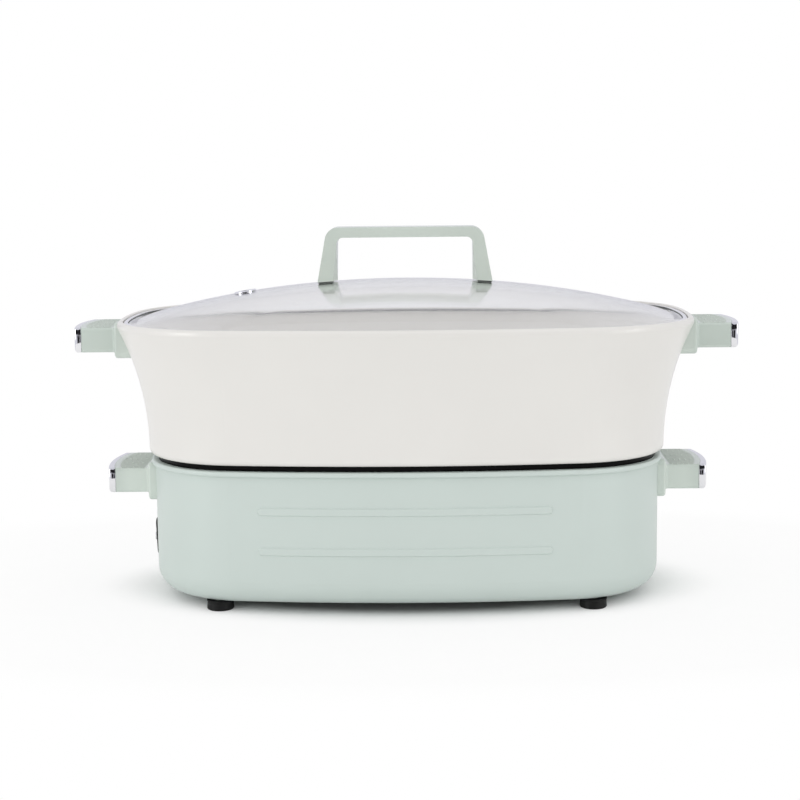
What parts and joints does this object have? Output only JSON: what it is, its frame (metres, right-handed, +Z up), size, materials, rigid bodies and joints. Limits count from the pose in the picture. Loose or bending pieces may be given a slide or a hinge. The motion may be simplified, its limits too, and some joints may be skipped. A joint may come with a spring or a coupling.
{
  "type": "electric hot pot with lid",
  "caption": "Oblong electric hot pot: flared pot with side handles on a heating base, domed glass lid with bridge handle, steam vent, thermostat knob and power inlet.",
  "frame": {"origin": "centre of the bounding box at the table plane", "axes": "+X along the side handles, +Y to the side with the controls, +Z up"},
  "size_m": [0.482, 0.2602, 0.2643],
  "materials": {
    "mint_enamel": "satin",
    "mint_plastic": "satin",
    "pad_grey": "matte",
    "gloss_black": "gloss",
    "aluminised_steel": "satin",
    "element_steel": "matte",
    "element_steel_clip": "matte",
    "ceramic": "matte",
    "guide_steel": "satin",
    "sensor_aluminium": "satin",
    "spring_steel": "satin",
    "cover_black": "matte",
    "screw_steel": "satin",
    "rubber": "matte",
    "panel_black": "gloss",
    "switch_body": "matte",
    "pointer_white": "matte",
    "lens_red": "gloss",
    "lamp_glass": "clear",
    "inlet_black": "satin",
    "pin_chrome": "polished",
    "pot_enamel": "satin",
    "lid_glass": "clear",
    "rim_steel": "polished",
    "gasket": "matte",
    "trim_chrome": "polished"
  },
  "bodies": {
    "base": {"base_shell": "mint_enamel", "seat_ring": "gloss_black", "reflector_tray": "aluminised_steel", "heating_element": "element_steel", "element_clips": "element_steel_clip", "element_terminals": "ceramic", "sensor_guide": "guide_steel", "bottom_cover": "cover_black", "bottom_cover_screws": "screw_steel", "foot_front_left": "rubber", "foot_front_right": "rubber", "foot_back_left": "rubber", "foot_back_right": "rubber", "foot_screws": "screw_steel", "control_panel": "panel_black", "thermostat_switch": "switch_body", "thermostat_nut": "screw_steel", "indicator_lens": "lens_red", "indicator_lamp": "lamp_glass", "power_inlet": "inlet_black", "inlet_pins": "pin_chrome", "inlet_screws": "screw_steel", "base_handle_left": "mint_plastic", "base_handle_right": "mint_plastic", "base_handle_pad_left": "pad_grey", "base_handle_pad_right": "pad_grey", "base_handle_trim_left": "trim_chrome", "base_handle_trim_right": "trim_chrome", "base_handle_screws": "screw_steel"},
    "pot": {"pot_shell": "pot_enamel", "pot_handle_left": "mint_plastic", "pot_handle_right": "mint_plastic", "pot_handle_pad_left": "pad_grey", "pot_handle_pad_right": "pad_grey", "pot_handle_trim_left": "trim_chrome", "pot_handle_trim_right": "trim_chrome", "pot_handle_screws": "screw_steel"},
    "lid": {"lid_glass": "lid_glass", "lid_rim": "rim_steel", "steam_vent": "rim_steel", "lid_handle": "mint_plastic", "lid_handle_gaskets": "gasket", "lid_handle_washers": "mint_plastic", "lid_handle_screws": "screw_steel"},
    "knob": {"control_knob": "mint_plastic", "knob_pointer": "pointer_white", "knob_shaft": "guide_steel"},
    "sensor": {"sensor_cap": "sensor_aluminium", "sensor_spring": "spring_steel"}
  },
  "joints": [
    {"name": "pot_lift", "type": "slide", "parent": "base", "child": "pot", "axis": [0, 0, 1], "range_m": [0, 0.12]},
    {"name": "lid_lift", "type": "slide", "parent": "pot", "child": "lid", "axis": [0, 0, 1], "range_m": [0, 0.12]},
    {"name": "knob_turn", "type": "hinge", "parent": "base", "child": "knob", "pos_m": [0, 0.1147, 0.056], "axis": [0, 1, 0], "range_deg": [0, 270]},
    {"name": "sensor_press", "type": "slide", "parent": "base", "child": "sensor", "axis": [0, 0, 1], "range_m": [-0.002, 0], "stiffness_N_per_m": 300, "springref_m": 0.002, "deforming": ["sensor_spring"]}
  ]
}
